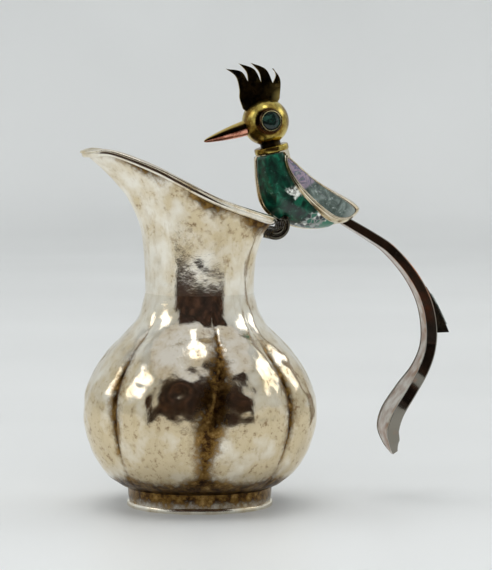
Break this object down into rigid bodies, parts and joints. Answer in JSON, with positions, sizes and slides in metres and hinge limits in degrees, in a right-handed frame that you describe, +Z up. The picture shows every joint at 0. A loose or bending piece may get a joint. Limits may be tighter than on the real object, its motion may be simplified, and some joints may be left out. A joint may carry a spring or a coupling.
{
  "type": "cream jug",
  "caption": "Hammered silver cream jug with a lobed bowl, a long flared spout and a stone-inlaid bird whose tail is the handle.",
  "frame": {"origin": "centre of the circle that the foot stands on", "axes": "+Z up, -X towards the spout, +X towards the bird's tail, which is the handle; symmetric about the XZ plane"},
  "size_m": [0.141, 0.0876, 0.1633],
  "materials": {
    "hammered_silver": "hammered silver plate, polished, with warm tarnish in the grooves",
    "silver_trim": "polished silver strip with light tarnish",
    "bird_silver": "polished silver with tarnish against the stones",
    "tail_silver": "polished silver, darker in the hollows, copper showing on worn edges",
    "tail_facing_silver": "silver brushed along its length",
    "toe_silver": "silver wire darkened by tarnish",
    "polished_brass": "polished brass",
    "crest_brass": "brass sheet with a dark brown patina",
    "beak_brass": "brass, patinated dark, bright along the edge",
    "beak_copper": "copper with a pink bloom",
    "eye_bezel_metal": "dark brown patinated metal with a bright edge",
    "eye_cabochon": "polished dark green stone",
    "malachite_deep": "polished deep green stone with pale flecks",
    "malachite_pale": "polished grey-green stone",
    "abalone_shell": "polished shell with purple and grey lustre",
    "stone_chips": "mixed dark stone chips in a pewter-grey bed"
  },
  "bodies": {
    "root": {"bowl": "hammered_silver", "foot_ring": "silver_trim", "foot_wire": "silver_trim", "neck_spout": "hammered_silver", "rim_band": "silver_trim", "bird_body": "bird_silver", "breast_strip": "bird_silver", "breast_stone_left": "malachite_deep", "breast_stone_right": "malachite_deep", "flank_stone_left": "malachite_deep", "flank_stone_right": "malachite_deep", "chip_mosaic_left": "stone_chips", "chip_mosaic_right": "stone_chips", "belly_stone_left": "malachite_pale", "belly_stone_right": "malachite_pale", "wing_tray_left": "bird_silver", "wing_tray_right": "bird_silver", "wing_edge_left": "bird_silver", "wing_edge_right": "bird_silver", "wing_abalone_left": "abalone_shell", "wing_abalone_right": "abalone_shell", "wing_malachite_left": "malachite_pale", "wing_malachite_right": "malachite_pale", "collar": "polished_brass", "neck_tube": "crest_brass", "head_left": "polished_brass", "head_right": "polished_brass", "eye_bezel_left": "eye_bezel_metal", "eye_bezel_right": "eye_bezel_metal", "eye_stone_left": "eye_cabochon", "eye_stone_right": "eye_cabochon", "beak_upper": "beak_brass", "beak_lower": "beak_copper", "crest": "crest_brass", "tail_channel": "tail_silver", "tail_facing": "tail_facing_silver", "tail_covert": "tail_silver", "tail_covert_stone": "malachite_deep", "foot_left": "toe_silver", "foot_right": "toe_silver"}
  },
  "joints": []
}
